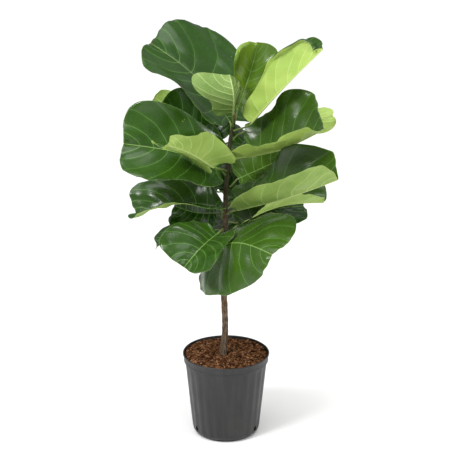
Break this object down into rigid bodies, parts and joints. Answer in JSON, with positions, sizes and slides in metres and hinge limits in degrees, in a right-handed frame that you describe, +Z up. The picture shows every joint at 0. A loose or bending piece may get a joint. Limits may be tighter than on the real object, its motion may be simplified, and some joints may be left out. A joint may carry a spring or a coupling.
{
  "type": "potted fiddle leaf fig",
  "caption": "Young fiddle leaf fig on a single woody trunk, with large violin-shaped leaves, standing in potting mix in a ribbed plastic nursery pot.",
  "frame": {"origin": "middle of the pot's underside, on the surface it stands on", "axes": "+Z up along the pot's axis; -Y towards the plant's front"},
  "size_m": [0.6276, 0.6191, 1.2528],
  "materials": {
    "pot_plastic": "satin charcoal moulded plastic with upright ribs",
    "potting_mix": null,
    "bark": "rough grey-brown bark with leaf scars",
    "bud_sheath": "dry papery sheath",
    "leaf": null
  },
  "bodies": {
    "root": {"pot": "pot_plastic", "potting_mix": "potting_mix", "trunk": "bark", "terminal_bud": "bud_sheath", "leaf_01": "leaf", "leaf_02": "leaf", "leaf_03": "leaf", "leaf_04": "leaf", "leaf_05": "leaf", "leaf_06": "leaf", "leaf_07": "leaf", "leaf_08": "leaf", "leaf_09": "leaf", "leaf_10": "leaf", "leaf_11": "leaf", "leaf_12": "leaf", "leaf_13": "leaf", "leaf_14": "leaf", "leaf_15": "leaf", "leaf_16": "leaf", "leaf_17": "leaf", "leaf_18": "leaf", "leaf_19": "leaf", "leaf_20": "leaf", "leaf_21": "leaf", "leaf_22": "leaf", "leaf_23": "leaf", "leaf_24": "leaf", "leaf_25": "leaf"}
  },
  "joints": []
}
